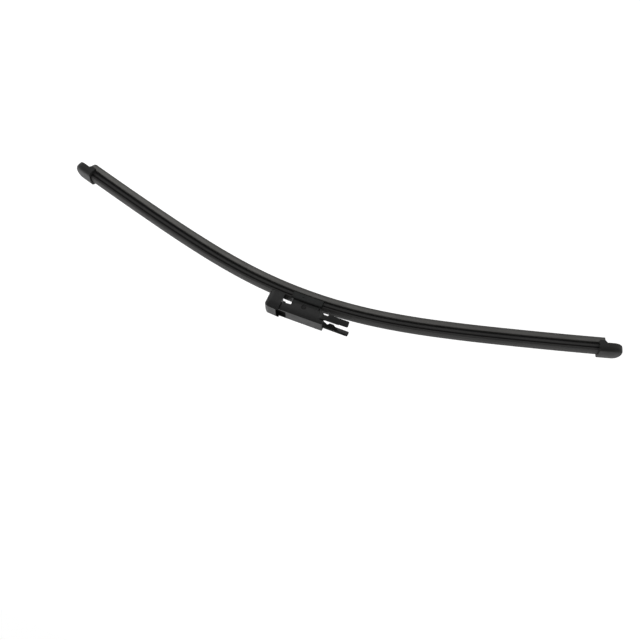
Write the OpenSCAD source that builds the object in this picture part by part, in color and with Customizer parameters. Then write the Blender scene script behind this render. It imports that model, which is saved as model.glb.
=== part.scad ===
// Rear flat wiper blade: a rubber wiping strip carried by two spring rails, with back
// strips, end caps, a rail clamp and a rocking arm adapter that snaps on a cross pin.
// X runs along the blade, Y across it and Z points away from the glass.
// The origin is on the adapter's outer face, straight above the cross pin.

/* [Blade curve] */
// Arc length from the clamp's centre to the left end of the wiping rubber
lip_left = 188.1; // [160:0.1:260]
// Arc length from the clamp's centre to the right end of the wiping rubber
lip_right = 189.8; // [160:0.1:260]
// Length by which the left end cap reaches past the rubber
left_overhang = 7.2; // [4:0.1:9]
// Length by which the right end cap reaches past the rubber
right_overhang = 10.2; // [4:0.1:10.5]
// Radius of the lip edge over the middle of the blade
middle_radius = 300; // [240:5:600]
// Radius of the lip edge next to the middle
second_radius = 465; // [300:5:900]
// Radius of the lip edge further out
third_radius = 1000; // [600:10:2000]
// Radius of the lip edge at the nearly straight ends
end_radius = 2900; // [1500:50:6000]
// Arc length of the middle curve, each side of the centre
middle_len = 50; // [30:1:60]
// Arc length of the second curve
second_len = 30; // [15:1:40]
// Arc length of the third curve
third_len = 35; // [15:1:50]

/* [Wiping rubber] */
// Height of the wiping lip
lip_h = 4.3; // [3:0.1:6]
// Thickness of the lip at its wiping edge
lip_edge_w = 0.7; // [0.4:0.05:1.2]
// Thickness of the lip at its shoulder
lip_root_w = 2.5; // [1.6:0.1:3.4]
// Height of the hinge neck
neck_h = 1.6; // [1:0.1:2.4]
// Thickness of the hinge neck
neck_w = 0.8; // [0.5:0.05:1.1]
// Height of the flange below the rails
flange_h = 0.9; // [0.6:0.1:1.4]
// Width of the flange below the rails
flange_w = 3.5; // [2.6:0.1:3.6]
// Thickness of the web between the rails
web_w = 1.2; // [0.8:0.1:1.4]
// Height of the head above the rails
head_h = 0.9; // [0.6:0.1:1.2]
// Width of the head above the rails
head_w = 3.8; // [2.6:0.1:4.0]

/* [Spring rails] */
// Width of each rail
rail_w = 2.2; // [1.8:0.1:2.4]
// Thickness of each rail
rail_t = 0.9; // [0.7:0.05:1.1]
// Gap between the two rails
rail_gap = 1.5; // [1.5:0.05:1.9]
// Clearance round the rails and the rubber in every slot
slot_fit = 0.06; // [0.03:0.01:0.1]

/* [Back strip] */
// Thickness of the claw under each rail
claw_t = 0.6; // [0.4:0.05:0.9]
// Gap between the rubber's flange and the claws above it
claw_gap = 0.1; // [0.05:0.05:0.3]
// Gap between the rubber's flange and each claw's edge, seen along the blade
mouth_gap = 0.15; // [0.1:0.05:0.3]
// Thickness of the claw's side wall
claw_wall = 0.55; // [0.4:0.05:0.8]
// Height of the crown above the rails
crown_h = 2.45; // [2.3:0.05:3.2]
// Height from the rails' slot to the groove along each side
groove_rise = 0.6; // [0.5:0.05:0.9]
// Depth of the groove along each side
groove_d = 0.6; // [0.3:0.05:0.7]
// Height of the groove along each side
groove_h = 0.7; // [0.5:0.05:0.9]
// Radius of the crown's long edges
crown_r = 1; // [0.5:0.1:1.2]
// Rise of the crown's middle above its edges
crown_dome = 0.3; // [0:0.05:0.6]
// Gap between each back strip and the clamp
strip_gap = 0.15; // [0.05:0.05:0.6]

/* [End caps] */
// Length of an end cap
cap_len = 15.3; // [13:0.1:20]
// Width of an end cap
cap_w = 13; // [12:0.1:14]
// Wall over the back strip
cap_wall = 1.1; // [0.8:0.05:1.6]
// Clearance between the cap and the back strip
cap_fit = 0.15; // [0.05:0.05:0.3]
// Depth to which the back strip enters the cap
cap_lap = 3; // [2:0.1:5]
// Closed length at the cap's tip
cap_tip = 1.6; // [1:0.1:2.5]
// Length of the cheeks beside the rubber at the mouth
cheek_len = 3.6; // [3:0.1:7]
// Length over which the cheeks run out
cheek_slope = 1.1; // [0.5:0.1:2]
// Drop of the cheeks towards the glass
cheek_drop = 1.5; // [0.5:0.1:2]
// Radius of the cap's long edges
cap_edge_r = 3; // [1:0.1:3.4]
// Radius of the wide arc over the cap
cap_dome_r = 30; // [20:1:60]
// Radius of the tip's lower edge, seen from the side
cap_toe_r = 1.2; // [0.6:0.1:1.6]

/* [Rail clamp] */
// Length of the clamp along the blade
clamp_len = 20.2; // [16:0.1:24]
// Width of the clamp
clamp_w = 9; // [8:0.1:10]
// Height of the clamp's roof above the rails
roof_h = 2.7; // [2.6:0.1:4]
// Radius of the clamp's long edges
clamp_r = 1.1; // [0.3:0.1:1.3]
// Thickness of the clamp's claws under the rails
grip_t = 0.85; // [0.6:0.05:0.9]
// Clearance between the tongue and each side wall of the adapter
tongue_side = 0.3; // [0.15:0.05:0.6]
// Length of the tongue
tongue_len = 18; // [12:0.1:18.6]
// Height of the tongue above the pin's centre
tongue_top = 2.6; // [2.2:0.1:3.2]
// Distance from the clamp's centre to the pip on each side
pip_x = 3.3; // [0:0.1:6]
// Diameter of the pip
pip_d = 1.4; // [1:0.1:2]
// Height of the pip
pip_h = 0.25; // [0.1:0.05:0.4]

/* [Cross pin] */
// Diameter of the cross pin
pin_d = 3; // [2.5:0.1:3.4]
// Height of the pin's centre above the clamp's roof
pin_rise = 4.2; // [3.9:0.1:4.8]
// Depth of each pin end below the adapter's walls
pin_recess = 0.1; // [0:0.05:0.3]
// Chamfer on the pin's ends
pin_chamfer = 0.3; // [0.1:0.05:0.5]
// Radial fit of the pin in the tongue
pin_fit = 0.02; // [0.01:0.01:0.04]
// Radial fit of the adapter on the pin
rock_fit = 0.06; // [0.03:0.01:0.1]

/* [Adapter body] */
// Height of the outer face above the pin's centre
seat_rise = 7.15; // [6.6:0.05:9]
// Width of the adapter's body
body_w = 9.8; // [9:0.1:11]
// Thickness of the adapter's side walls
wall_t = 1.55; // [1.2:0.05:1.8]
// Height over which the side walls bow inwards below the outer face
body_bow = 2.6; // [1:0.1:3]
// Radius of that bow
body_bow_r = 7.4; // [6:0.1:20]
// Radius of the outer face's long edges
body_edge_r = 0.35; // [0.1:0.05:0.8]
// Thickness of the plate behind the outer face
plate_t = 1.3; // [1:0.1:1.8]
// Distance from the pin to the body's fork end
body_front = 15.3; // [15:0.1:18]
// Width of the snap slot below the pin
snap_w = 2.4; // [1.8:0.1:2.4]
// Length of the ears that hold the pin
ear_len = 5.2; // [4.6:0.1:7]
// Depth of the ears below the pin's centre
ear_drop = 1.9; // [1.9:0.05:3]
// Length over which the ears run up towards the head
ear_slope = 4; // [3:0.1:4.6]
// Depth of the side walls below the pin's centre, towards the fork
skirt_drop = 1.2; // [0.5:0.05:1.8]
// Length over which that edge rises next to the fork
skirt_run = 6.8; // [5:0.1:8]
// Rise of that edge next to the fork
skirt_rise = 1; // [0.2:0.1:1.6]
// Height of the fork end's low edge above the pin's centre
front_low = 4.2; // [2:0.1:4.4]
// Height of the side walls' edge above the pin's centre, next to the head
heel_rise = 1.75; // [1.2:0.05:2]
// Height of that edge where it meets the ears' slope
heel_low = 1; // [0.4:0.05:1.2]
// Drop of that edge to the ears' slope
heel_drop = 1.3; // [0.8:0.1:1.6]
// Bevel at the fork end of the outer face
seat_bevel = 0.5; // [0.2:0.1:1]

/* [Adapter head] */
// Distance from the pin to the head's closed end
head_end = 25.4; // [24:0.1:28]
// Distance from the pin to the head's step down to the body
head_step = 14.8; // [14.4:0.1:16]
// Width of the head
shell_w = 11.5; // [11:0.1:12.6]
// Height of the head above the outer face
shell_rise = 1.1; // [0.3:0.05:1.5]
// Angle at which the head falls towards its closed end
shell_slope = 4; // [0:0.5:5]
// Height over which the head's sides bow inwards
shell_bow = 6; // [3:0.1:7]
// Radius of that bow
shell_bow_r = 21; // [15:1:60]
// Wall of the head's shell
shell_wall = 1.2; // [0.9:0.05:1.4]
// Wall at the head's closed end
nose_wall = 1.8; // [1.8:0.1:2.4]
// Thickness of the head's outer face
shell_top_t = 2; // [2:0.05:2.4]
// Radius of the closed end's outer edge, seen from the side
nose_r = 4.2; // [1:0.1:4.2]
// Distance by which the closed end leans out above its low edge
nose_lean = 0.2; // [0:0.1:1]
// Gap from the head's closed end to the crown of the back strip
shell_gap = 0.9; // [0.7:0.05:1.4]
// Radius of the head's end corners, seen from outside
shell_end_r = 5; // [2:0.1:5.3]
// Radius of the head's long edges
shell_edge_r = 0.8; // [0.3:0.1:1.2]
// Length of the cross groove in the head's outer face
cross_w = 1.7; // [1:0.1:2.4]
// Depth of the cross groove below the outer face
cross_d = 2.4; // [1:0.1:3]
// Length of the groove round the body next to the head
neck_len = 0.7; // [0.4:0.1:1]
// Depth of the groove round the body
neck_cut = 0.5; // [0.2:0.05:0.6]
// Length of the hook pocket
pocket_len = 5; // [4.4:0.1:5.2]

/* [Adapter fork] */
// Distance from the pin to the prong tips
fork_tip = 31.6; // [28:0.1:36]
// Width over the prongs where they leave the body
fork_w = 11.6; // [11:0.1:12.4]
// Thickness of each prong
prong_t = 1.4; // [1:0.1:2]
// Height of the prongs
prong_h = 4.1; // [3:0.1:4.4]
// Angle at which the outer halves of the prongs lean outwards
prong_lean = 30; // [0:1:34]
// Angle at which the inner halves of the prongs lean outwards
prong_root_lean = 14; // [0:1:20]
// Angle at which the outer halves of the prongs spread
prong_spread = 1; // [0:0.5:5]
// Fall of the prongs towards the glass over their length
prong_fall = 0.1; // [0:0.1:1]
// Radius of the prong tips
prong_tip_r = 0.8; // [0.3:0.1:0.9]
// Distance from the outer face to the prongs
prong_drop = 3.1; // [2.9:0.1:4]
// Length over which each prong is joined to the body
root_len = 3.9; // [3:0.1:5]
// Distance from the pin to the middle of the prongs, where the lean begins
prong_mid = 20.5; // [19:0.1:22]
// Depth of the notch at each prong's root
root_notch = 0.9; // [0:0.1:1.6]
// Height of the nub on each prong's inner edge
nub_h = 1.1; // [0.5:0.1:1.4]

/* [Hidden] */
corner_steps = 14;

// Heights above the lip edge, in the order that the section is built
neck_z = lip_h;
flange_z = neck_z + neck_h;
grip_top_z = flange_z + flange_h + claw_gap + claw_t;
rail_z = grip_top_z + slot_fit;
rail_top_z = rail_z + rail_t;
slot_top_z = rail_top_z + slot_fit;
head_top_z = slot_top_z + head_h;
crown_z = slot_top_z + crown_h;
roof_z = slot_top_z + roof_h;
pin_z = roof_z + pin_rise;
seat_z = pin_z + seat_rise;

// Reach of the end caps
left_reach = lip_left + left_overhang;
right_reach = lip_right + right_overhang;

// Width of the tongue between the adapter's side walls
tongue_w = body_w - 2 * wall_t - 2 * tongue_side;

// Half widths of the section
rail_in = rail_gap / 2;
rail_out = rail_in + rail_w;
slot_half = rail_out + slot_fit;
mouth_half = flange_w / 2 + mouth_gap;
strip_half = slot_half + claw_wall;
cavity_half = head_w / 2 + slot_fit;
cavity_top = head_top_z + slot_fit;

// Arcs of the lip edge, from the centre outwards
arc_len = [middle_len, second_len, third_len, 400];
arc_rad = [middle_radius, second_radius, third_radius, end_radius];
function arc_start(i) = i == 0 ? 0 : arc_start(i - 1) + arc_len[i - 1];
function arc_turn(i) = i == 0 ? 0 : arc_turn(i - 1) + degrees_over(arc_len[i - 1], arc_rad[i - 1]);
function degrees_over(s, r) = s / r * 180 / PI;
function step_from(p, a, b, r) = p + r * [sin(b) - sin(a), cos(b) - cos(a)];
function arc_point(i) = i == 0 ? [0, 0]
    : step_from(arc_point(i - 1), arc_turn(i - 1), arc_turn(i), arc_rad[i - 1]);
function arc_index(s) = s < arc_start(1) ? 0 : s < arc_start(2) ? 1 : s < arc_start(3) ? 2 : 3;
function turn_at(s) = let (i = arc_index(s)) arc_turn(i) + degrees_over(s - arc_start(i), arc_rad[i]);
function point_at(s) = let (i = arc_index(s)) step_from(arc_point(i), arc_turn(i), turn_at(s), arc_rad[i]);

// Everything is drawn above the lip edge, then moved so that the outer face is at zero
module from_lip() {
    translate([0, 0, -seat_z]) children();
}

// Arc lengths at which a swept section is placed, closer together where the curve is tighter
stations_on_arc = [10, 5, 4, 8];
function arc_end(i) = i == 3 ? 260 : arc_start(i + 1);
station_steps = [for (i = [0:3]) let (n = stations_on_arc[i])
    for (k = [1:n]) arc_start(i) + (arc_end(i) - arc_start(i)) * k / n];
all_stations = concat([for (k = [len(station_steps) - 1:-1:0]) -station_steps[k]], [0], station_steps);
function stations(s1, s2) = concat([s1], [for (s = all_stations) if (s > s1 + 0.5 && s < s2 - 0.5) s], [s2]);

function signed_turn(s) = sign(s) * turn_at(abs(s));
function signed_point(s) = let (p = point_at(abs(s))) [sign(s) * p.x, p.y];
function placed(q, s) = let (p = signed_point(s), t = signed_turn(s))
    [p.x + q.x * sin(t), q.y, p.y + q.x * cos(t)];

// A closed outline of [height, half width] points swept along the lip edge. Its two end faces
// are made of convex panels, where the outline isn't simple enough for one face.
module sweep(outline, s1, s2, panels = []) {
    at = stations(s1, s2);
    n = len(outline);
    last = n * (len(at) - 1);
    ends = len(panels) == 0 ? [[for (k = [0:n - 1]) k]] : panels;
    polyhedron(
        points = [for (s = at) for (q = outline) placed(q, s)],
        faces = concat(
            ends,
            [for (i = [0:len(at) - 2]) for (k = [0:n - 1]) let (j = (k + 1) % n)
                [i * n + k, (i + 1) * n + k, (i + 1) * n + j, i * n + j]],
            [for (face = ends) [for (k = [len(face) - 1:-1:0]) last + face[k]]]));
}

// The same arc as a true curve, for what stays within the middle of the blade
module middle_arc(half_len) {
    turn = degrees_over(half_len, middle_radius);
    translate([0, 0, -middle_radius])
        rotate([90, 0, 0])
            rotate([0, 0, 90 - turn])
                rotate_extrude(angle = 2 * turn, $fn = ceil(360 / turn * 4))
                    translate([middle_radius, 0]) children();
}

// A box in section coordinates, from height z1 to z2 and half width y
module band(z1, z2, y) {
    translate([z1, -y]) square([z2 - z1, 2 * y]);
}

// Slot for both rails, the web and the rubber's head
module rail_slot_section() {
    band(grip_top_z, slot_top_z, slot_half);
    band(slot_top_z - 0.01, cavity_top, cavity_half);
}

// Outlines are written for one side, from the glass outwards, and mirrored
function flipped(half) = [for (k = [len(half) - 1:-1:0]) [half[k].x, -half[k].y]];

rubber_half = [
    [0, lip_edge_w / 2], [lip_h * 0.75, lip_root_w / 2 - 0.25], [lip_h - 0.25, lip_root_w / 2],
    [lip_h, lip_root_w / 2 - 0.25], [lip_h, neck_w / 2], [flange_z, neck_w / 2],
    [flange_z, flange_w / 2], [flange_z + flange_h, flange_w / 2], [flange_z + flange_h, web_w / 2],
    [slot_top_z, web_w / 2], [slot_top_z, head_w / 2], [head_top_z, head_w / 2]];
rubber_outline = concat(rubber_half, flipped(rubber_half));

groove_z = slot_top_z + groove_rise;
strip_outer_half = concat(
    [[grip_top_z - claw_t, strip_half - 0.2], [grip_top_z - claw_t + 0.2, strip_half],
     [groove_z - 0.1, strip_half], [groove_z, strip_half - 0.1], [groove_z, strip_half - groove_d],
     [groove_z + groove_h, strip_half - groove_d], [groove_z + groove_h, strip_half]],
    [for (a = [0:18:90]) [crown_z - crown_r + crown_r * sin(a), strip_half - crown_r + crown_r * cos(a)]],
    [[crown_z + crown_dome * 0.75, (strip_half - crown_r) / 2]]);
slot_half_outline = [
    [grip_top_z - claw_t, mouth_half], [grip_top_z, mouth_half], [grip_top_z, slot_half],
    [slot_top_z, slot_half], [slot_top_z, cavity_half], [cavity_top, cavity_half]];
strip_outline = concat(strip_outer_half, [[crown_z + crown_dome, 0]], flipped(strip_outer_half),
                       [for (q = slot_half_outline) [q.x, -q.y]],
                       [for (k = [len(slot_half_outline) - 1:-1:0]) slot_half_outline[k]]);

// Numbers of the outline's points, on either side, and the convex panels between them
outer_count = len(strip_outer_half);
inner_count = len(slot_half_outline);
function outer(side, k) = side > 0 ? k : 2 * outer_count - k;
function inner(side, k) = 2 * outer_count + (side > 0 ? 2 * inner_count - k : 1 + k);
function strip_side_panels(side) = [
    [inner(side, 0), outer(side, 0), outer(side, 1), inner(side, 2), inner(side, 1)],
    [outer(side, 1), outer(side, 2), inner(side, 3), inner(side, 2)],
    [outer(side, 2), outer(side, 3), outer(side, 4), inner(side, 3)],
    [inner(side, 3), outer(side, 4), inner(side, 5), inner(side, 4)],
    [outer(side, 4), outer(side, 5), inner(side, 5)],
    [for (k = [5:outer_count - 1]) outer(side, k)],
    [outer(side, 5), outer(side, outer_count - 1), outer_count, inner(side, 5)]];
function turned(face) = [for (k = [len(face) - 1:-1:0]) face[k]];
strip_panels = concat(strip_side_panels(1), [for (face = strip_side_panels(-1)) turned(face)],
                      [[inner(1, 5), outer_count, inner(-1, 5)]]);

// A back strip is a channel round the rails and the rubber's head
module back_strip(s1, s2) {
    sweep(strip_outline, s1, s2, strip_panels);
}

module clamp_section() {
    difference() {
        union() {
            band(grip_top_z - grip_t, roof_z - clamp_r, clamp_w / 2);
            band(roof_z - clamp_r - 0.1, roof_z, clamp_w / 2 - clamp_r);
            for (side = [-1, 1])
                translate([roof_z - clamp_r, side * (clamp_w / 2 - clamp_r)]) circle(clamp_r, $fn = 32);
        }
        rail_slot_section();
        band(grip_top_z - grip_t - 1, grip_top_z + 0.1, mouth_half);
    }
}

module wiping_rubber() {
    color("dimgray") from_lip() sweep(rubber_outline, -lip_left, lip_right);
}

module rail(side) {
    y = side > 0 ? rail_in : -rail_out;
    from_lip()
        sweep([[rail_z, y], [rail_z, y + rail_w], [rail_top_z, y + rail_w], [rail_top_z, y]],
              -left_reach + cap_tip + 0.4, right_reach - cap_tip - 0.4);
}

module rail_near() {
    color("slategray") rail(1);
}

module rail_far() {
    color("slategray") rail(-1);
}

module back_strip_left() {
    color("darkslategray") from_lip()
        back_strip(-(left_reach - cap_len + cap_lap), -(clamp_len / 2 + strip_gap));
}

module back_strip_right() {
    color("darkslategray") from_lip()
        back_strip(clamp_len / 2 + strip_gap, right_reach - cap_len + cap_lap);
}

module rail_clamp() {
    color("darkslategray") from_lip() {
        middle_arc(clamp_len / 2) clamp_section();
        clamp_tongue();
        for (side = [-1, 1])
            translate([-pip_x, side * (clamp_w / 2 - 0.1), rail_z + rail_t / 2])
                rotate([-90 * side, 0, 0]) cylinder(d = pip_d, h = pip_h + 0.1, $fn = 32);
    }
}

// Upright tongue with the pin's bore and rounded upper corners
module clamp_tongue() {
    top = pin_z + tongue_top;
    difference() {
        translate([0, tongue_w / 2, 0])
            rotate([90, 0, 0])
                linear_extrude(tongue_w) {
                    translate([-tongue_len / 2, roof_z - 0.5])
                        square([tongue_len, top - tongue_top - roof_z + 0.5]);
                    for (side = [-1, 1])
                        translate([side * (tongue_len / 2 - tongue_top), pin_z]) circle(tongue_top, $fn = 48);
                    translate([-tongue_len / 2 + tongue_top, pin_z - 0.1])
                        square([tongue_len - 2 * tongue_top, tongue_top + 0.1]);
                }
        at_pin() cylinder(r = pin_d / 2 + pin_fit, h = tongue_w + 2, center = true, $fn = 48);
    }
}

// Children drawn about the pin's axis, along Z
module at_pin() {
    translate([0, 0, pin_z]) rotate([90, 0, 0]) children();
}

module cross_pin() {
    half = body_w / 2 - pin_recess;
    color("silver") from_lip() at_pin()
        rotate_extrude($fn = 48)
            polygon([[0, -half], [pin_d / 2 - pin_chamfer, -half], [pin_d / 2, -half + pin_chamfer],
                     [pin_d / 2, half - pin_chamfer], [pin_d / 2 - pin_chamfer, half], [0, half]]);
}

// A flat outline drawn as X by Z and extruded across the blade
module across(w) {
    translate([0, w / 2, 0]) rotate([90, 0, 0]) linear_extrude(w) children();
}

// A section drawn as Y by Z and extruded along the blade
module along(x1, x2) {
    translate([x1, 0, 0]) rotate([90, 0, 90]) linear_extrude(x2 - x1) children();
}

// Section whose sides bow inwards over the height bow and end in rounded long edges
module bowed_section(w, low, top, bow, bow_r, edge_r) {
    bow_z = top - bow;
    rise = top - edge_r - bow_z;
    edge_y = w / 2 - bow_r + sqrt(pow(bow_r - edge_r, 2) - pow(rise, 2));
    translate([-w / 2, low]) square([w, bow_z - low]);
    intersection() {
        translate([-w / 2, bow_z - 0.01]) square([w, rise * bow_r / (bow_r - edge_r) + 0.01]);
        translate([w / 2 - bow_r, bow_z]) circle(bow_r, $fn = 240);
        translate([bow_r - w / 2, bow_z]) circle(bow_r, $fn = 240);
    }
    translate([-edge_y, bow_z]) square([2 * edge_y, bow]);
    for (side = [-1, 1]) translate([side * edge_y, top - edge_r]) circle(edge_r, $fn = 48);
}

// Section whose rounded long edges run into a wide arc over the top
module domed_section(w, top, dome_r, edge_r) {
    edge_y = w / 2 - edge_r;
    edge_z = top - dome_r + sqrt(pow(dome_r - edge_r, 2) - pow(edge_y, 2));
    meet_y = edge_y * dome_r / (dome_r - edge_r);
    translate([-w / 2, 0]) square([w, edge_z]);
    for (side = [-1, 1]) translate([side * edge_y, edge_z]) circle(edge_r, $fn = 64);
    intersection() {
        translate([0, top - dome_r]) circle(dome_r, $fn = 360);
        translate([-meet_y, edge_z]) square([2 * meet_y, dome_r]);
    }
}

// A cap lies straight along the blade's end, with its mouth at x = 0 and its tip at cap_len
module cap_shape() {
    top = crown_z + crown_dome + cap_fit + cap_wall;
    low = grip_top_z - claw_t;
    end_x = cap_len - cap_w / 2;
    intersection() {
        union() {
            along(0, end_x) domed_section(cap_w, top, cap_dome_r, cap_edge_r);
            translate([end_x, 0, 0])
                rotate_extrude($fn = 128)
                    intersection() {
                        domed_section(cap_w, top, cap_dome_r, cap_edge_r);
                        square([cap_w, top + 1]);
                    }
        }
        across(cap_w + 2) {
            polygon([[-1, low - cheek_drop], [cheek_len, low - cheek_drop], [cheek_len + cheek_slope, low],
                     [cap_len - cap_toe_r, low], [cap_len, low + cap_toe_r],
                     [cap_len + 1, top + 1], [-1, top + 1]]);
            translate([cap_len - cap_toe_r, low + cap_toe_r]) circle(cap_toe_r, $fn = 48);
        }
    }
}

module cap_hollow() {
    low = grip_top_z - claw_t;
    depth = cap_len - cap_tip;
    half = strip_half + cap_fit;
    // Room for the back strip's end
    translate([-1, -half, low - cheek_drop - 1])
        cube([cap_lap + 1.3, 2 * half, crown_z + crown_dome + cap_fit - low + cheek_drop + 1]);
    // Room between the cheeks
    translate([-1, -half, low - cheek_drop - 1])
        cube([cheek_len + cheek_slope + 1.01, 2 * half, cheek_drop + 1]);
    // Slots for the rails and for the rubber's web and head
    translate([-1, -slot_half, grip_top_z]) cube([depth + 1, 2 * slot_half, slot_top_z - grip_top_z]);
    translate([-1, -cavity_half, slot_top_z - 0.1])
        cube([depth + 1, 2 * cavity_half, cavity_top - slot_top_z + 0.1]);
    translate([-1, -web_w / 2 - cap_fit, low - 1])
        cube([depth + 1, web_w + 2 * cap_fit, grip_top_z - low + 1.1]);
}

// The cap stands at arc length s of its mouth, on the right hand side
module cap_at(s) {
    p = point_at(s + cap_len / 2);
    translate([p.x, 0, p.y])
        rotate([0, turn_at(s + cap_len / 2), 0])
            translate([-cap_len / 2, 0, 0])
                difference() {
                    cap_shape();
                    cap_hollow();
                }
}

module end_cap_left() {
    color("darkslategray") from_lip() mirror([1, 0, 0]) cap_at(left_reach - cap_len);
}

module end_cap_right() {
    color("darkslategray") from_lip() cap_at(right_reach - cap_len);
}

// Outline of the adapter's body seen from the side
module body_side() {
    ear = ear_len / 2;
    skirt_z = pin_z - skirt_drop;
    difference() {
        polygon([[-head_step - 1, pin_z + heel_rise], [-ear - 1.5 * ear_slope, pin_z + heel_low],
                 [-ear - ear_slope, pin_z + heel_low - heel_drop], [-ear, pin_z - ear_drop],
                 [ear, pin_z - ear_drop], [ear + skirt_drop / 2, skirt_z], [body_front - skirt_run, skirt_z],
                 [body_front - skirt_run / 3, skirt_z + skirt_rise], [body_front, pin_z + front_low],
                 [body_front, seat_z - seat_bevel],
                 [body_front - seat_bevel, seat_z], [-head_step, seat_z],
                 [-head_step, seat_z - cross_d], [-head_step - 1, seat_z - cross_d]]);
        translate([0, pin_z]) circle(pin_d / 2 + rock_fit, $fn = 48);
        translate([-snap_w / 2, pin_z - ear_drop - 1]) square([snap_w, ear_drop + 1]);
    }
}

module adapter_body() {
    inner = body_w - 2 * wall_t;
    difference() {
        intersection() {
            across(body_w + 1) body_side();
            along(-head_step - 2, body_front + 1)
                bowed_section(body_w, pin_z - ear_drop - 1, seat_z, body_bow, body_bow_r, body_edge_r);
        }
        // Groove round the body next to the head
        for (side = [-1, 1])
            translate([-head_step, side * body_w / 2 - neck_cut, pin_z])
                cube([neck_len, 2 * neck_cut, seat_rise + 1]);
        translate([-head_step - 2, -inner / 2, 0])
            cube([head_step + body_front + 2 - wall_t, inner, seat_z - plate_t]);
        // Pocket through the plate for the arm's hook
        translate([-head_step - 1, -inner / 2, seat_z - plate_t - 1])
            cube([pocket_len + 1, inner, plate_t + 2]);
    }
}

// Outline of the rounded head seen from outside
module head_plan(w, end, r) {
    polygon(concat([[-head_step, -w / 2]], corner([r - end, r - w / 2], r, 270, 180),
                   corner([r - end, w / 2 - r], r, 180, 90), [[-head_step, w / 2]]));
}

// Points of a rounded corner from one angle to another
function corner(centre, r, a1, a2) =
    [for (i = [0:corner_steps])
        let (a = a1 + (a2 - a1) * i / corner_steps) centre + r * [cos(a), sin(a)]];

// Outline of the head seen from the side, with its rounded and leaning closed end
module head_side(low, top) {
    nose_x = nose_r - head_end;
    nose_top = top + (nose_x + head_step) * tan(shell_slope);
    polygon(concat([[-head_step, low], [nose_lean - head_end, low]],
                   corner([nose_x, nose_top - nose_r + 0.03], nose_r, 180, 90),
                   [[nose_x + 0.03, nose_top + 1], [-head_step, top + 1]]));
}

module adapter_head() {
    low = crown_z + crown_dome - middle_radius * (1 - cos(degrees_over(head_end, middle_radius))) + shell_gap;
    top = seat_z + shell_rise;
    difference() {
        intersection() {
            translate([0, 0, low]) linear_extrude(top - low + 1)
                head_plan(shell_w + 0.4, head_end + 0.05, shell_end_r + 0.2);
            across(shell_w + 2) head_side(low, top);
            translate([-head_step, 0, top])
                rotate([0, -shell_slope, 0])
                    translate([head_step, 0, -top])
                        along(-head_end - 2, 1)
                            bowed_section(shell_w, low - 3, top, shell_bow, shell_bow_r, shell_edge_r);
        }
        translate([-shell_wall, 0, low - 1])
            linear_extrude(top - low + 1 - shell_top_t)
                head_plan(shell_w - 2 * shell_wall, head_end - nose_wall - shell_wall,
                          shell_end_r - shell_wall);
        // The step wall stops short of the back strip's crown
        translate([-head_step - 2 * shell_wall, -shell_w / 2 + shell_wall, low - 1])
            cube([3 * shell_wall, shell_w - 2 * shell_wall, pin_z - low]);
        // Cross groove between the head's side walls
        translate([-head_step - cross_w, -shell_w / 2 + shell_wall, seat_z - cross_d])
            cube([cross_w + 1, shell_w - 2 * shell_wall, cross_d + 3]);
    }
}

// One prong seen from outside, on the far side, as far as its middle
module prong_plan() {
    root = fork_w / 2;
    start = body_front - root_len;
    polygon([[start, body_w / 2 - 0.3], [start + root_len / 2, root], [prong_mid + 5, root],
             [prong_mid + 5, root - prong_t], [body_front + 1, root - prong_t],
             [body_front - 0.5, body_w / 2 - wall_t], [start, body_w / 2 - wall_t]]);
}

// The same length seen from the side, with the root notch and the nub
module prong_side(top, low) {
    start = body_front - root_len;
    polygon([[start, low], [body_front - root_len / 2, low - 0.3], [body_front - 0.9, low + root_notch],
             [body_front + 1.7, low + root_notch], [body_front + 2.5, low - nub_h / 2],
             [prong_mid, low - nub_h / 2], [prong_mid + 5, top - prong_fall / 2 - 0.6],
             [prong_mid + 5, top - prong_fall / 2], [start, top]]);
}

// Outer half of a prong seen from the side, with its rounded tip
module prong_end_side(top, low) {
    end = fork_tip - prong_tip_r;
    polygon([[prong_mid - 3, top], [prong_mid - 3, top - 0.6], [prong_mid + 1, low], [end, low],
             [fork_tip, low + prong_tip_r], [fork_tip, top - prong_fall - prong_tip_r],
             [end, top - prong_fall]]);
    for (z = [low + prong_tip_r, top - prong_fall - prong_tip_r])
        translate([end, z]) circle(prong_tip_r, $fn = 48);
}

module adapter_fork() {
    top = seat_z - prong_drop;
    low = top - prong_h;
    for (side = [0, 1])
        mirror([0, side, 0]) {
            translate([0, fork_w / 2, top]) rotate([prong_root_lean, 0, 0]) translate([0, -fork_w / 2, -top])
                intersection() {
                    across(fork_w + 2) prong_side(top, low);
                    linear_extrude(seat_z) prong_plan();
                }
            // The outer half turns about the line where it leaves the inner one
            translate([prong_mid, fork_w / 2, top])
                rotate([0, 0, prong_spread]) rotate([prong_lean, 0, 0])
                    translate([-prong_mid, 0, -top])
                        rotate([90, 0, 0]) linear_extrude(prong_t) prong_end_side(top, low);
        }
}

module arm_adapter() {
    color("black") from_lip() {
        adapter_body();
        adapter_head();
        adapter_fork();
    }
}

wiping_rubber();
rail_near();
rail_far();
back_strip_left();
back_strip_right();
end_cap_left();
end_cap_right();
rail_clamp();
cross_pin();
arm_adapter();
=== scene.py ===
"""A rear flat wiper blade on a pale floor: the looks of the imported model."""
import math

import bpy
from mathutils import Matrix, Vector


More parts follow.
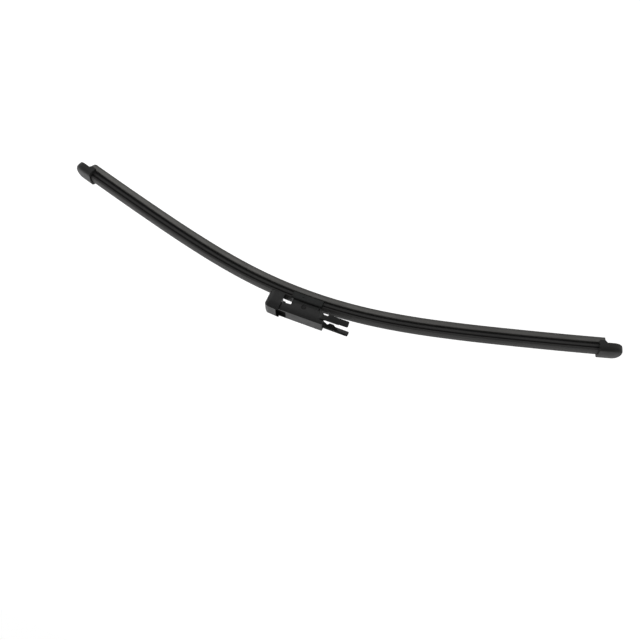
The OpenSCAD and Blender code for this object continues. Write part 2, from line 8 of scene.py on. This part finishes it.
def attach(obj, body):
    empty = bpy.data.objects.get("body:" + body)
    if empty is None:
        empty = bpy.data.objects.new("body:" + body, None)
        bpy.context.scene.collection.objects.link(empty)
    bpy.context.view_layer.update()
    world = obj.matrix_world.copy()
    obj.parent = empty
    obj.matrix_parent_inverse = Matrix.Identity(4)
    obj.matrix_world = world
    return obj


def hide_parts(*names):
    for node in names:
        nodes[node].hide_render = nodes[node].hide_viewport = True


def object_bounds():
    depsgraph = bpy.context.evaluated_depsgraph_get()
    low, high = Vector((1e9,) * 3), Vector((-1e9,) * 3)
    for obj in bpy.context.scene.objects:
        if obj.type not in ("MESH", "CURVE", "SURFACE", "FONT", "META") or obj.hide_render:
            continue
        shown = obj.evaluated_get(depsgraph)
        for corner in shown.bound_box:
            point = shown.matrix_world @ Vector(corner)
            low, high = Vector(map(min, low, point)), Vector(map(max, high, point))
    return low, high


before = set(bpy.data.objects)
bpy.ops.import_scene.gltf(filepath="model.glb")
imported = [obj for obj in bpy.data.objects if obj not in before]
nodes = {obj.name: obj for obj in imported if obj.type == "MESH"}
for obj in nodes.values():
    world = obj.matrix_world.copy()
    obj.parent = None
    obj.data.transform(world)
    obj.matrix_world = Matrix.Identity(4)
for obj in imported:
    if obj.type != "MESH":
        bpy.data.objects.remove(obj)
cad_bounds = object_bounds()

MM = 0.001

# Height of the origin above the middle of the lip edge
SEAT_Z = 22.57 * MM

# Lengths along the blade, from its middle
LIP_LEFT = 188.1 * MM
LIP_RIGHT = 189.8 * MM
LEFT_OVERHANG = 7.2 * MM
RIGHT_OVERHANG = 10.2 * MM
LEFT_REACH = LIP_LEFT + LEFT_OVERHANG
RIGHT_REACH = LIP_RIGHT + RIGHT_OVERHANG
CAP_LEN = 15.3 * MM
CAP_LAP = 3 * MM
CLAMP_LEN = 20.2 * MM
STRIP_GAP = 0.15 * MM

# Arcs of the lip edge, from the blade's middle outwards. The last is longer than either end needs.
ARC_LENGTHS = (50 * MM, 30 * MM, 35 * MM, 400 * MM)
ARC_RADII = (300 * MM, 465 * MM, 1000 * MM, 2900 * MM)

# The rubber's section: heights and half widths
LIP_H = 4.3 * MM
LIP_EDGE = 0.35 * MM
LIP_ROOT = 1.25 * MM
LIP_SWELL = 0.75
SHOULDER_CUT = 0.25 * MM
NECK_H = 1.6 * MM
NECK_HALF = 0.4 * MM
FLANGE_H = 0.9 * MM
FLANGE_HALF = 1.75 * MM
WEB_HALF = 0.6 * MM
HEAD_H = 0.9 * MM
HEAD_HALF = 1.9 * MM

# The rails, which lie in the back strip's slot
RAIL_W = 2.2 * MM
RAIL_T = 0.9 * MM
RAIL_GAP = 1.5 * MM
FIT = 0.06 * MM

# The back strip's section
CLAW_T = 0.6 * MM
CLAW_GAP = 0.1 * MM
CLAW_WALL = 0.55 * MM
CLAW_CUT = 0.2 * MM
MOUTH_GAP = 0.15 * MM
GROOVE_RISE = 0.6 * MM
GROOVE_H = 0.7 * MM
GROOVE_D = 0.6 * MM
GROOVE_CUT = 0.1 * MM
CROWN_H = 2.45 * MM
CROWN_R = 1.0 * MM
CROWN_DOME = 0.3 * MM

# Heights above the lip edge, and half widths, that follow from these
FLANGE_Z = LIP_H + NECK_H
CLAW_Z = FLANGE_Z + FLANGE_H + CLAW_GAP
SLOT_Z = CLAW_Z + CLAW_T
SLOT_TOP = SLOT_Z + RAIL_T + 2 * FIT
GROOVE_Z = SLOT_TOP + GROOVE_RISE
CROWN_Z = SLOT_TOP + CROWN_H
SLOT_HALF = RAIL_GAP / 2 + RAIL_W + FIT
STRIP_HALF = SLOT_HALF + CLAW_WALL
MOUTH_HALF = FLANGE_HALF + MOUTH_GAP

# Roundings that the dressed sections have
RUBBER_ROUND = 0.14 * MM
STRIP_ROUND = 0.1 * MM
END_CHAMFER = 0.12 * MM
LIP_CORNER_R = 2 * MM
CROWN_STEPS = 6
CORNER_STEPS = 3
SMALL_BEND = math.radians(20)
SHARP_ANGLE = math.radians(40)

# Rings of a sweep: their spacing, and closer ones where it starts, for the lip's rounded corner
RING_SPACING = 3 * MM
FIRST_RINGS = (0.4 * MM, 0.8 * MM, 1.3 * MM, 2 * MM)


# Places on the blade
def edge_point(s):
    """Point (x, z above the middle of the lip edge) and turn angle at arc length s."""
    x = z = turn = 0.0
    left = abs(s)
    for length, radius in zip(ARC_LENGTHS, ARC_RADII):
        run = min(left, length)
        after = turn + run / radius
        x += radius * (math.sin(after) - math.sin(turn))
        z += radius * (math.cos(after) - math.cos(turn))
        turn = after
        left -= run
        if left <= 0:
            break
    side = -1 if s < 0 else 1
    return side * x, z, side * turn


def on_blade(s, height, y):
    """A point of the section at arc length s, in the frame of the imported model."""
    x, z, turn = edge_point(s)
    return Vector((x + height * math.sin(turn), y, z + height * math.cos(turn) - SEAT_Z))


# Outlines
def rounded(outline, radius):
    """A closed outline with each corner rounded, by at most a third of its shorter side."""
    points = [Vector(p) for p in outline]
    made = []
    for k, corner in enumerate(points):
        before = points[k - 1] - corner
        after = points[(k + 1) % len(points)] - corner
        bend = math.pi - before.angle(after)
        if bend < SMALL_BEND:
            made.append(corner)
            continue
        cut = min(radius * math.tan(bend / 2), before.length / 3, after.length / 3)
        start = corner + before.normalized() * cut
        end = corner + after.normalized() * cut
        for i in range(CORNER_STEPS + 1):
            t = i / CORNER_STEPS
            made.append(start * (1 - t) ** 2 + corner * 2 * t * (1 - t) + end * t ** 2)
    return made


def both_sides(half):
    """The outline of a section, from its half on the +Y side."""
    return half + [(h, -y) for h, y in reversed(half) if y > 0]


# Meshes
def mesh_object(name, vertices, faces):
    mesh = bpy.data.meshes.new(name)
    mesh.from_pydata(vertices, [], faces)
    mesh.validate()
    mesh.shade_smooth()
    mesh.set_sharp_from_angle(angle=SHARP_ANGLE)
    piece = bpy.data.objects.new(name, mesh)
    bpy.context.scene.collection.objects.link(piece)
    return piece


def store(piece, name, values):
    """Keeps one number for each vertex, for the materials."""
    layer = piece.data.attributes.new(name, "FLOAT", "POINT")
    layer.data.foreach_set("value", values)


def stations(start, end):
    """Arc lengths of the rings, with a short ring at each end for its chamfer."""
    count = max(2, round((end - start) / RING_SPACING))
    inner = [start + (end - start) * k / count for k in range(1, count)]
    close = [start + step for step in FIRST_RINGS if step < (end - start) / count]
    return [start, start + END_CHAMFER] + close + inner + [end - END_CHAMFER, end]


def shrunk(outline, amount):
    """The outline moved inwards along its corners' bisectors."""
    made = []
    area = sum(a.cross(b) for a, b in zip(outline, outline[1:] + outline[:1]))
    inward = 1 if area > 0 else -1
    for k, corner in enumerate(outline):
        before = (corner - outline[k - 1]).normalized()
        after = (outline[(k + 1) % len(outline)] - corner).normalized()
        normal = Vector((-(before.y + after.y), before.x + after.x))
        made.append(corner + normal.normalized() * amount * inward)
    return made


def corner_lift(run, radius):
    """How far a rounded corner stands back from the lip edge, at a distance from its end."""
    left = max(0.0, radius - run)
    return radius - math.sqrt(radius ** 2 - left ** 2)


def sweep(name, outline, start, end, corner=0.0):
    """A closed outline of (height, y) points swept along the blade, with chamfered ends.
    A corner radius rounds the lip's end at the start."""
    at = stations(start, end)
    small = shrunk(outline, END_CHAMFER)
    n = len(outline)
    vertices, along, height, across = [], [], [], []
    for i, s in enumerate(at):
        ring = small if i in (0, len(at) - 1) else outline
        lift = corner_lift(s - start, corner)
        for h, y in ring:
            h += lift * max(0.0, 1 - h / LIP_H)
            vertices.append(on_blade(s, h, y))
            along.append(s)
            height.append(h)
            across.append(y)
    faces = [tuple(range(n))]
    for i in range(len(at) - 1):
        for k in range(n):
            j = (k + 1) % n
            faces.append((i * n + k, i * n + j, (i + 1) * n + j, (i + 1) * n + k)[::-1])
    faces.append(tuple(range(n * len(at) - 1, n * (len(at) - 1) - 1, -1)))
    piece = mesh_object(name, vertices, faces)
    store(piece, "along", along)
    store(piece, "height", height)
    store(piece, "across", across)
    return piece


# Colours of the materials, as linear red, green, blue and alpha. A pair is a darker and a lighter
# tone, which noise mixes.
# Near-black colour of the painted shade in recesses, grooves and the adapter's darker zones
PAINTED_SHADE_COLOR = (0.006, 0.006, 0.006, 1)
CAP_COLORS = ((0.020, 0.020, 0.019, 1), (0.030, 0.030, 0.029, 1))
CLAMP_COLORS = ((0.010, 0.012, 0.011, 1), (0.016, 0.018, 0.017, 1))
ADAPTER_COLORS = ((0.022, 0.022, 0.022, 1), (0.034, 0.034, 0.033, 1))
RAIL_COLORS = ((0.014, 0.014, 0.015, 1), (0.024, 0.024, 0.025, 1))
PIN_COLORS = ((0.012, 0.012, 0.012, 1), (0.02, 0.02, 0.02, 1))
LIP_COLORS = ((0.21, 0.207, 0.197, 1), (0.27, 0.266, 0.253, 1))
# The lip's painted shade: its sides fade to this colour
LIP_PAINTED_SHADE_COLOR = (0.09, 0.088, 0.085, 1)
LIP_STREAK_COLOR = (0.12, 0.118, 0.112, 1)
NECK_COLORS = ((0.006, 0.006, 0.006, 1), (0.009, 0.009, 0.009, 1))
STRIP_COLORS = ((0.060, 0.059, 0.058, 1), (0.078, 0.076, 0.075, 1))
STRIP_DRAWN_COLOR = (0.036, 0.035, 0.035, 1)
FLOOR_COLORS = ((0.80, 0.80, 0.80, 1), (0.82, 0.82, 0.82, 1))

# The rest of the finish
RECESS_ROUGHNESS = 0.8
NOISE_ROUGHNESS = 0.55
OPENNESS_SAMPLES = 8
BEVEL_SAMPLES = 6

# Painted shade on the adapter: where each darker zone starts and ends, and how much of its colour is
# left
WALL_FADE = (-5.5 * MM, -2 * MM)
LOW_EDGE = (-8.7 * MM, -7.7 * MM)
CLAMP_START = (-8.5 * MM, -7 * MM)
PRONG_ROOTS = (15 * MM, 17 * MM)
WALL_TOP_SHADE = 0.1
FACE_SHADE = 0.5
PRONG_SHADE = 0.4


# Materials
class Material:
    """A node material, built by naming nodes and joining their sockets."""

    def __init__(self, name):
        self.material = bpy.data.materials.new(name)
        self.material.use_nodes = True
        self.tree = self.material.node_tree
        self.bsdf = self.tree.nodes["Principled BSDF"]

    def node(self, kind, **settings):
        made = self.tree.nodes.new("ShaderNode" + kind)
        for key, value in settings.items():
            setattr(made, key, value)
        return made

    def put(self, value, socket):
        """Joins an output to a socket, or sets a number or colour on it."""
        if isinstance(value, bpy.types.NodeSocket):
            self.tree.links.new(value, socket)
        else:
            socket.default_value = value

    def math(self, operation, a, b=0.0, c=0.0):
        made = self.node("Math", operation=operation)
        for value, socket in zip((a, b, c), made.inputs):
            self.put(value, socket)
        return made.outputs[0]

    def mix(self, factor, low, high):
        made = self.node("Mix", data_type="RGBA")
        self.put(factor, made.inputs[0])
        self.put(low, made.inputs[6])
        self.put(high, made.inputs[7])
        return made.outputs[2]

    def steps(self, value, low, high, out_low=0.0, out_high=1.0):
        """value from low to high, smoothly mapped to out_low to out_high."""
        made = self.node("MapRange", interpolation_type="SMOOTHSTEP")
        for item, socket in zip((value, low, high, out_low, out_high), made.inputs):
            self.put(item, socket)
        return made.outputs[0]

    def noise(self, vector, scale, detail=3.0):
        made = self.node("TexNoise")
        self.put(vector, made.inputs["Vector"])
        made.inputs["Scale"].default_value = scale
        made.inputs["Detail"].default_value = detail
        made.inputs["Roughness"].default_value = NOISE_ROUGHNESS
        return made.outputs["Fac"]

    def cells(self, vector, scale):
        made = self.node("TexVoronoi")
        self.put(vector, made.inputs["Vector"])
        made.inputs["Scale"].default_value = scale
        return made.outputs["Distance"]

    def position(self):
        return self.node("TexCoord").outputs["Object"]

    def attribute(self, name):
        return self.node("Attribute", attribute_name=name).outputs["Fac"]

    def section_vector(self, stretch):
        """Coordinates along the blade, slowed by stretch, with those of the section."""
        made = self.node("CombineXYZ")
        slow = self.math("MULTIPLY", self.attribute("along"), 1 / stretch)
        for value, socket in zip((slow, self.attribute("across"), self.attribute("height")),
                                 made.inputs):
            self.put(value, socket)
        return made.outputs[0]

    def bump(self, height, distance, strength, normal=None):
        made = self.node("Bump")
        made.inputs["Strength"].default_value = strength
        made.inputs["Distance"].default_value = distance
        self.put(height, made.inputs["Height"])
        if normal is not None:
            self.put(normal, made.inputs["Normal"])
        return made.outputs[0]

    def openness(self, reach):
        """1 on open faces, towards 0 in grooves and gaps as wide as the reach."""
        made = self.node("AmbientOcclusion", samples=OPENNESS_SAMPLES)
        made.inputs["Distance"].default_value = reach
        return made.outputs["AO"]

    def round_edges(self, radius):
        made = self.node("Bevel", samples=BEVEL_SAMPLES)
        made.inputs["Radius"].default_value = radius
        return made.outputs[0]

    def finish(self, color, roughness, normal, specular):
        self.put(color, self.bsdf.inputs["Base Color"])
        self.put(roughness, self.bsdf.inputs["Roughness"])
        self.put(normal, self.bsdf.inputs["Normal"])
        self.bsdf.inputs["Specular IOR Level"].default_value = specular
        return self.material


def adapter_painted_shade(m):
    """Painted shade: darker towards the top of the adapter's walls, on its upward faces (to half),
    along the walls' low edge from the clamp's left end on, and on the prongs.
    """
    place = m.node("SeparateXYZ")
    m.put(m.position(), place.inputs[0])
    x, z = place.outputs["X"], place.outputs["Z"]
    normal = m.node("SeparateXYZ")
    m.put(m.node("NewGeometry").outputs["Normal"], normal.inputs[0])
    face_up = m.steps(normal.outputs["Z"], 0.8, 0.97)
    wall = m.steps(z, *WALL_FADE, 1.0, WALL_TOP_SHADE)
    whole = m.math("MULTIPLY_ADD", face_up, m.math("SUBTRACT", FACE_SHADE, wall), wall)
    above_gap = m.steps(z, *LOW_EDGE)
    off_clamp = m.steps(x, *CLAMP_START, 1.0, 0.0)
    prongs = m.steps(x, *PRONG_ROOTS, 1.0, PRONG_SHADE)
    over_clamp = m.math("MAXIMUM", above_gap, off_clamp)
    return m.math("MULTIPLY", m.math("MULTIPLY", whole, over_clamp), prongs)


def grained_plastic(name, colors, grain, roughness, edge, specular, reach=3 * MM, shade=None):
    """Moulded black plastic: fine eroded grain, faint flow marks, and painted shade that darkens its
    recesses and the zones of any shade function.
    The reach is how wide a gap may be to count as a recess."""
    m = Material(name)
    place = m.position()
    flow = m.noise(place, scale=90, detail=4)
    fine = m.noise(place, scale=2600, detail=2)
    pits = m.cells(place, scale=grain)
    open_face = m.steps(m.openness(reach), 0.3, 0.85)
    # Painted shade: the colour goes to near black in recesses and where the shade function darkens it
    clear = open_face if shade is None else m.math("MULTIPLY", open_face, shade(m))
    color = m.mix(m.steps(flow, 0.3, 0.7), *colors)
    color = m.mix(clear, PAINTED_SHADE_COLOR, color)
    gloss = m.steps(m.noise(place, scale=240), 0.3, 0.7, roughness - 0.05, roughness + 0.06)
    gloss = m.steps(open_face, 0.0, 1.0, RECESS_ROUGHNESS, gloss)
    normal = m.bump(pits, 0.02 * MM, 0.5, m.round_edges(edge))
    normal = m.bump(fine, 0.01 * MM, 0.6, normal)
    return m.finish(color, gloss, normal, specular)


def rubber_material():
    """Extruded rubber: grey lip sides with painted light and shade, a darker neck and fine drawn
    lines.
    """
    m = Material("rubber")
    drawn = m.noise(m.section_vector(80), scale=2600)
    blotch = m.noise(m.section_vector(4), scale=260, detail=4)
    dust = m.noise(m.position(), scale=1900, detail=2)
    height = m.attribute("height")
    on_lip = m.steps(height, LIP_H + 0.02 * MM, LIP_H + 0.2 * MM, 1.0, 0.0)
    # Painted light and shade on the lip's sides: lightest from 2.4 to 3.4 mm up, darker towards the
    # edge and the shoulder, and fading from the left end to the right
    lip_painted_light = m.math("MULTIPLY", m.steps(height, 0.3 * MM, 2.4 * MM, 0.45, 1.0),
                 m.steps(height, 3.4 * MM, LIP_H, 1.0, 0.6))
    lip_painted_light = m.math("MULTIPLY", lip_painted_light, m.steps(m.attribute("along"), -LIP_LEFT, LIP_RIGHT, 1.1, 0.55))
    grey = m.mix(m.steps(blotch, 0.3, 0.7), *LIP_COLORS)
    grey = m.mix(lip_painted_light, LIP_PAINTED_SHADE_COLOR, grey)
    black = m.mix(m.steps(dust, 0.35, 0.65), *NECK_COLORS)
    streaked = m.mix(m.steps(drawn, 0.45, 0.75, 0.0, 0.35), grey, LIP_STREAK_COLOR)
    color = m.mix(on_lip, black, streaked)
    roughness = m.steps(drawn, 0.3, 0.7, 0.5, 0.66)
    normal = m.bump(drawn, 0.02 * MM, 0.5)
    normal = m.bump(dust, 0.008 * MM, 0.5, normal)
    return m.finish(color, roughness, normal, specular=0.18)


def strip_material():
    """Extruded soft plastic: dark grey with drawn lines, with painted shade in its side groove, on
    the claw band next to the groove and along the claw's lower edge.
    """
    m = Material("back_strip")
    drawn = m.noise(m.section_vector(120), scale=1800)
    fine = m.noise(m.section_vector(3), scale=3200, detail=2)
    bloom = m.noise(m.section_vector(8), scale=180, detail=4)
    height = m.attribute("height")
    grey = m.mix(m.steps(bloom, 0.25, 0.75), *STRIP_COLORS)
    grey = m.mix(m.steps(drawn, 0.35, 0.7, 0.0, 0.4), grey, STRIP_DRAWN_COLOR)
    # Painted shade: the claw band fades to near black at its lower edge and towards the groove, and
    # the groove itself is near black
    claw = m.math("MULTIPLY", m.steps(height, CLAW_Z, CLAW_Z + 0.8 * MM),
                  m.steps(height, GROOVE_Z - 0.9 * MM, GROOVE_Z, 1.0, 0.3))
    above = m.steps(height, GROOVE_Z + GROOVE_H - 0.15 * MM, GROOVE_Z + GROOVE_H + 0.15 * MM)
    open_side = m.math("MAXIMUM", claw, above)
    color = m.mix(open_side, PAINTED_SHADE_COLOR, grey)
    roughness = m.steps(drawn, 0.3, 0.7, 0.46, 0.6)
    normal = m.bump(drawn, 0.015 * MM, 0.5)
    normal = m.bump(fine, 0.008 * MM, 0.6, normal)
    return m.finish(color, roughness, normal, specular=0.2)


def coated_steel_material():
    """Black coated spring steel."""
    m = Material("rail_steel")
    place = m.position()
    orange_peel = m.noise(place, scale=700)
    color = m.mix(m.steps(orange_peel, 0.3, 0.7), *RAIL_COLORS)
    roughness = m.steps(orange_peel, 0.3, 0.7, 0.34, 0.46)
    normal = m.bump(orange_peel, 0.01 * MM, 0.5, m.round_edges(0.12 * MM))
    return m.finish(color, roughness, normal, specular=0.5)


def coated_pin_material():
    """The pin: black coated steel with fine turned rings."""
    m = Material("pin_steel")
    rings = m.node("TexWave", wave_type="BANDS", bands_direction="Y")
    m.put(m.position(), rings.inputs["Vector"])
    rings.inputs["Scale"].default_value = 900
    rings.inputs["Distortion"].default_value = 1.5
    tint = m.noise(m.position(), scale=500)
    color = m.mix(m.steps(tint, 0.3, 0.7), *PIN_COLORS)
    normal = m.bump(rings.outputs["Fac"], 0.006 * MM, 0.4, m.round_edges(0.1 * MM))
    return m.finish(color, m.steps(tint, 0.3, 0.7, 0.4, 0.5), normal, specular=0.4)


# Sections of the dressed pieces, as points of height and y
RUBBER_HALF = [
    (0.0, LIP_EDGE), (LIP_H * LIP_SWELL, LIP_ROOT - SHOULDER_CUT), (LIP_H - SHOULDER_CUT, LIP_ROOT),
    (LIP_H, LIP_ROOT - SHOULDER_CUT), (LIP_H, NECK_HALF), (FLANGE_Z, NECK_HALF),
    (FLANGE_Z, FLANGE_HALF), (FLANGE_Z + FLANGE_H, FLANGE_HALF), (FLANGE_Z + FLANGE_H, WEB_HALF),
    (SLOT_TOP, WEB_HALF), (SLOT_TOP, HEAD_HALF), (SLOT_TOP + HEAD_H, HEAD_HALF)]

CROWN_ARC = [(CROWN_Z - CROWN_R + CROWN_R * math.sin(a), STRIP_HALF - CROWN_R + CROWN_R * math.cos(a))
             for a in (math.pi / 2 * k / CROWN_STEPS for k in range(CROWN_STEPS + 1))]
STRIP_OUTER = [
    (CLAW_Z, STRIP_HALF - CLAW_CUT), (CLAW_Z + CLAW_CUT, STRIP_HALF),
    (GROOVE_Z - GROOVE_CUT, STRIP_HALF), (GROOVE_Z, STRIP_HALF - GROOVE_CUT),
    (GROOVE_Z, STRIP_HALF - GROOVE_D),
    (GROOVE_Z + GROOVE_H, STRIP_HALF - GROOVE_D), (GROOVE_Z + GROOVE_H, STRIP_HALF)] + CROWN_ARC
STRIP_TOP = [(CROWN_Z + CROWN_DOME * 0.75, (STRIP_HALF - CROWN_R) / 2), (CROWN_Z + CROWN_DOME, 0.0)]
STRIP_SLOT = [
    (SLOT_TOP + HEAD_H + FIT, HEAD_HALF + FIT), (SLOT_TOP, HEAD_HALF + FIT), (SLOT_TOP, SLOT_HALF),
    (SLOT_Z, SLOT_HALF), (SLOT_Z, MOUTH_HALF), (CLAW_Z, MOUTH_HALF)]


def strip_outline():
    """The back strip's channel as one closed outline, round the outside and back inside."""
    outer = STRIP_OUTER + STRIP_TOP
    left = [(h, -y) for h, y in reversed(outer[:-1])]
    inside_left = [(h, -y) for h, y in reversed(STRIP_SLOT)]
    return outer + left + inside_left + STRIP_SLOT


# The pieces
def dress(piece, material):
    piece.data.materials.clear()
    piece.data.materials.append(material)


rubber = sweep("wiping_rubber_dressed", rounded(both_sides(RUBBER_HALF), RUBBER_ROUND),
               -LIP_LEFT, LIP_RIGHT, corner=LIP_CORNER_R)
dress(rubber, rubber_material())
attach(rubber, "blade")
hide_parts("wiping_rubber")

strip_look = strip_material()
STRIP_SPANS = {
    "back_strip_left": (-(LEFT_REACH - CAP_LEN + CAP_LAP), -(CLAMP_LEN / 2 + STRIP_GAP)),
    "back_strip_right": (CLAMP_LEN / 2 + STRIP_GAP, RIGHT_REACH - CAP_LEN + CAP_LAP)}
for strip_name, (strip_start, strip_end) in STRIP_SPANS.items():
    strip = sweep(strip_name + "_dressed", rounded(strip_outline(), STRIP_ROUND),
                  strip_start, strip_end)
    dress(strip, strip_look)
    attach(strip, "blade")
    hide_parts(strip_name)

cap_look = grained_plastic("cap_plastic", CAP_COLORS, grain=1500, roughness=0.4,
                           edge=0.25 * MM, specular=0.45)
# The clamp's wider reach spreads the painted shade over the wider gaps around it
clamp_look = grained_plastic("clamp_plastic", CLAMP_COLORS, grain=2200, roughness=0.34,
                             edge=0.2 * MM, specular=0.48, reach=6 * MM)
adapter_look = grained_plastic("adapter_plastic", ADAPTER_COLORS, grain=1700, roughness=0.35,
                               edge=0.2 * MM, specular=0.5, shade=adapter_painted_shade)
steel_look = coated_steel_material()
LOOKS = {
    "end_cap_left": cap_look, "end_cap_right": cap_look, "rail_clamp": clamp_look,
    "arm_adapter": adapter_look, "rail_near": steel_look, "rail_far": steel_look,
    "cross_pin": coated_pin_material()}
for node_name, look in LOOKS.items():
    dress(nodes[node_name], look)

# Floor
FLOOR_SIZE = 14.0
FLOOR_DROP = 0.12
GLOW_RANGE = (0.4, 2.0)
NEAR_GLOW = 0.6
FAR_GLOW = 0.8


def floor_material():
    """Pale floor. The camera also sees a glow that lifts it to white."""
    m = Material("floor")
    speck = m.noise(m.position(), scale=6, detail=2)
    m.bsdf.inputs["Roughness"].default_value = 0.9
    m.bsdf.inputs["Specular IOR Level"].default_value = 0.1
    m.put(m.mix(speck, *FLOOR_COLORS), m.bsdf.inputs["Base Color"])
    path = m.node("LightPath")
    m.bsdf.inputs["Emission Color"].default_value = (1, 1, 1, 1)
    away = m.node("VectorMath", operation="LENGTH")
    m.put(m.position(), away.inputs[0])
    glow = m.steps(away.outputs["Value"], *GLOW_RANGE, NEAR_GLOW, FAR_GLOW)
    m.put(m.math("MULTIPLY", path.outputs["Is Camera Ray"], glow), m.bsdf.inputs["Emission Strength"])
    return m.material


half = FLOOR_SIZE / 2
floor_z = cad_bounds[0].z - FLOOR_DROP
floor = mesh_object("floor", [(-half, -half, floor_z), (half, -half, floor_z),
                              (half, half, floor_z), (-half, half, floor_z)], [(0, 1, 2, 3)])
dress(floor, floor_material())


# Light: levels of the surround, and the directions between which they change
BACKDROP = 0.85
CEILING = 0.12
FRONT = 0.3
LEFT_GAIN = 1.25
RIGHT_GAIN = 0.85
BACK_TO_FRONT = (-0.35, 0.25)
WALLS_TO_CEILING = (0.55, 0.9)

LAMP_PLACE = (-0.9, -0.3, 1.4)
LAMP_SIZE = 1.2
LAMP_POWER = 11


def world_light():
    """A studio: a pale backdrop behind the object, a darker room in front and a dark ceiling."""
    world = bpy.data.worlds.new("surround")
    world.use_nodes = True
    tree = world.node_tree
    background = tree.nodes["Background"]
    background.inputs["Color"].default_value = (1, 1, 1, 1)

    def ramp(value, low, high, out_low, out_high):
        made = tree.nodes.new("ShaderNodeMapRange")
        made.interpolation_type = "SMOOTHSTEP"
        for item, socket in zip((value, low, high, out_low, out_high), made.inputs):
            if isinstance(item, bpy.types.NodeSocket):
                tree.links.new(item, socket)
            else:
                socket.default_value = item
        return made.outputs[0]

    direction = tree.nodes.new("ShaderNodeSeparateXYZ")
    tree.links.new(tree.nodes.new("ShaderNodeTexCoord").outputs["Generated"], direction.inputs[0])
    sideways = ramp(direction.outputs["Y"], *BACK_TO_FRONT, BACKDROP, FRONT)
    level = ramp(direction.outputs["Z"], *WALLS_TO_CEILING, sideways, CEILING)
    tilt = ramp(direction.outputs["X"], -1.0, 1.0, LEFT_GAIN, RIGHT_GAIN)
    product = tree.nodes.new("ShaderNodeMath")
    product.operation = "MULTIPLY"
    tree.links.new(level, product.inputs[0])
    tree.links.new(tilt, product.inputs[1])
    path = tree.nodes.new("ShaderNodeLightPath")
    seen = ramp(path.outputs["Is Camera Ray"], 0.0, 1.0, product.outputs[0], 1.0)
    tree.links.new(seen, background.inputs["Strength"])
    bpy.context.scene.world = world


def overhead_lamp():
    """A large soft lamp that points at the blade's middle and doesn't show in reflections."""
    lamp = bpy.data.lights.new("overhead_lamp", "AREA")
    lamp.shape = "SQUARE"
    lamp.size = LAMP_SIZE
    lamp.energy = LAMP_POWER
    holder = bpy.data.objects.new("overhead_lamp", lamp)
    holder.location = LAMP_PLACE
    holder.rotation_euler = (-Vector(LAMP_PLACE)).to_track_quat("-Z", "Y").to_euler()
    holder.visible_glossy = False
    bpy.context.scene.collection.objects.link(holder)


world_light()
overhead_lamp()

# Camera, at the photo's viewing angle
CAMERA_PLACE = Vector((120.5 * MM, 519.2 * MM, 281.9 * MM - SEAT_Z))
CAMERA_FORWARD = Vector((-0.1828, -0.8762, -0.4460)).normalized()
CAMERA_UP = Vector((-0.3323, 0.4820, -0.8107)).normalized()
CAMERA_LENS = 51.825
CAMERA_SENSOR = 36.0
CAMERA_CLIP = (0.01, 50)

camera_data = bpy.data.cameras.new("camera")
camera_data.lens = CAMERA_LENS
camera_data.sensor_width = CAMERA_SENSOR
camera_data.clip_start, camera_data.clip_end = CAMERA_CLIP
camera = bpy.data.objects.new("camera", camera_data)
right = CAMERA_FORWARD.cross(CAMERA_UP).normalized()
up = right.cross(CAMERA_FORWARD)
camera.matrix_world = Matrix((
    (right.x, up.x, -CAMERA_FORWARD.x, CAMERA_PLACE.x),
    (right.y, up.y, -CAMERA_FORWARD.y, CAMERA_PLACE.y),
    (right.z, up.z, -CAMERA_FORWARD.z, CAMERA_PLACE.z),
    (0, 0, 0, 1)))
bpy.context.scene.collection.objects.link(camera)
bpy.context.scene.camera = camera
bpy.context.scene.view_settings.view_transform = "Standard"
